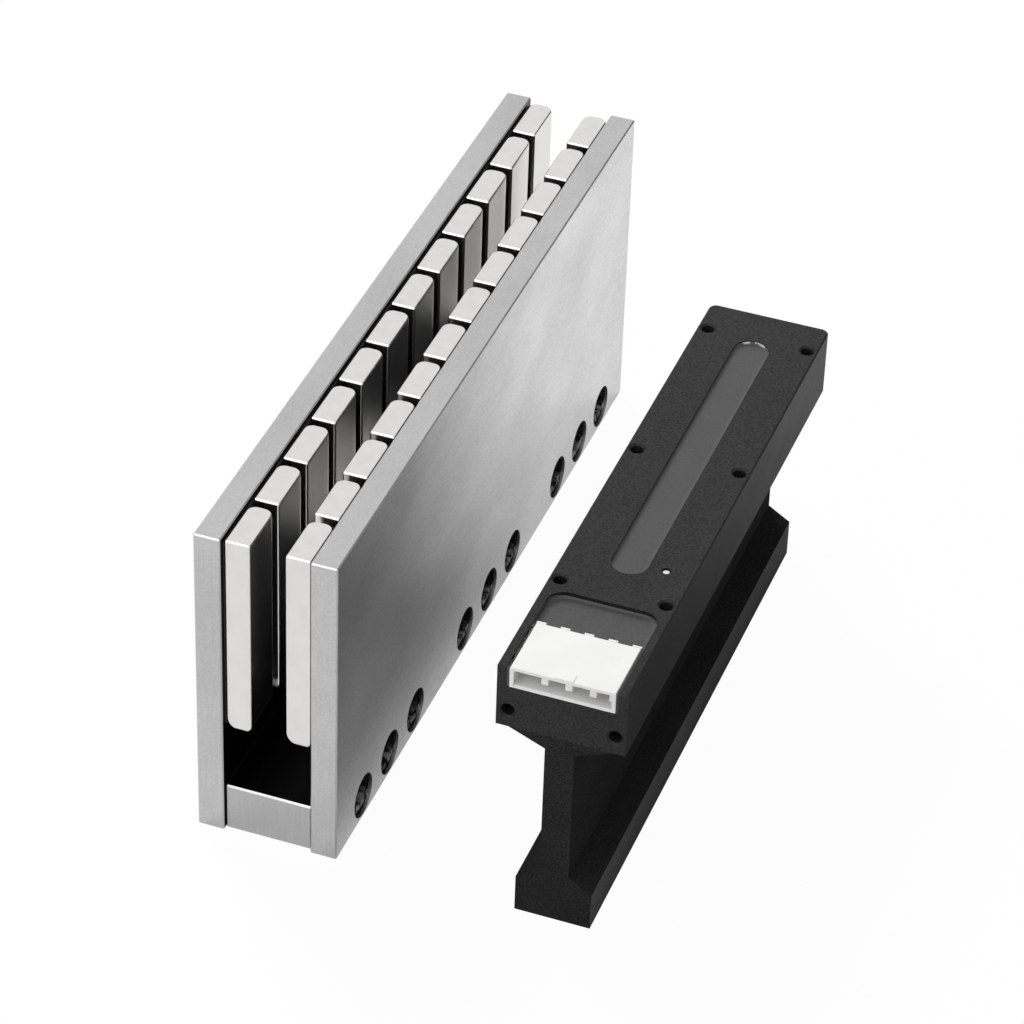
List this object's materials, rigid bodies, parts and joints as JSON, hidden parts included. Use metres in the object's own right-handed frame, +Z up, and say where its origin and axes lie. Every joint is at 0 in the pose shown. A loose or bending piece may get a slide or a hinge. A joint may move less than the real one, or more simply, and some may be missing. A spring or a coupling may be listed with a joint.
{
  "type": "ironless linear motor",
  "caption": "U-channel magnet track with two facing magnet rows, beside a black T-headed ironless coil unit with a white socket, which slides along it.",
  "frame": {"origin": "middle of the underside of the magnet track", "axes": "+Y along the track, away from the forcer's connector; +Z up, out of the open channel; +X from the track to the forcer"},
  "size_m": [0.098, 0.192, 0.081],
  "materials": {
    "ground_steel": "satin ground steel",
    "bar_steel": "milled steel, slightly darker than the plates",
    "magnet_nickel": "nickel plated, smooth",
    "bond_epoxy": "black structural adhesive",
    "screw_steel": "black oxide",
    "anodised_aluminium": "black anodised aluminium, bead-blasted matte",
    "casting_epoxy": "black cast epoxy, ground flat",
    "enamelled_copper": "enamelled copper wire, baked",
    "sensor_glass": "glass bead",
    "board_laminate": "glass-epoxy laminate",
    "lead_insulation": "white fluoropolymer insulation",
    "bright_pin": "bright plated",
    "white_nylon": "white moulded plastic",
    "tinned_brass": "tinned",
    "potting_epoxy": "dark grey potting, cast level"
  },
  "bodies": {
    "magnet_track": {"side_plate_left": "ground_steel", "side_plate_right": "ground_steel", "spacer_bar": "bar_steel", "magnet_left_01": "magnet_nickel", "magnet_left_02": "magnet_nickel", "magnet_left_03": "magnet_nickel", "magnet_left_04": "magnet_nickel", "magnet_left_05": "magnet_nickel", "magnet_left_06": "magnet_nickel", "magnet_left_07": "magnet_nickel", "magnet_left_08": "magnet_nickel", "magnet_left_09": "magnet_nickel", "magnet_left_10": "magnet_nickel", "magnet_left_11": "magnet_nickel", "magnet_left_12": "magnet_nickel", "magnet_right_01": "magnet_nickel", "magnet_right_02": "magnet_nickel", "magnet_right_03": "magnet_nickel", "magnet_right_04": "magnet_nickel", "magnet_right_05": "magnet_nickel", "magnet_right_06": "magnet_nickel", "magnet_right_07": "magnet_nickel", "magnet_right_08": "magnet_nickel", "magnet_right_09": "magnet_nickel", "magnet_right_10": "magnet_nickel", "magnet_right_11": "magnet_nickel", "magnet_right_12": "magnet_nickel", "magnet_bond_left": "bond_epoxy", "magnet_bond_right": "bond_epoxy", "clamp_screws_left": "screw_steel", "clamp_screws_right": "screw_steel"},
    "forcer": {"head_bar": "anodised_aluminium", "coil_casting": "casting_epoxy", "winding_u": "enamelled_copper", "winding_v": "enamelled_copper", "winding_w": "enamelled_copper", "temperature_sensor": "sensor_glass", "terminal_board": "board_laminate", "lead_wires": "lead_insulation", "earth_pin": "bright_pin", "connector_housing": "white_nylon", "connector_contacts": "tinned_brass", "pocket_potting": "potting_epoxy", "slot_potting": "potting_epoxy"}
  },
  "joints": [
    {"name": "forcer_travel", "type": "slide", "parent": "magnet_track", "child": "forcer", "axis": [0, 1, 0], "range_m": [0, 0.048]}
  ]
}
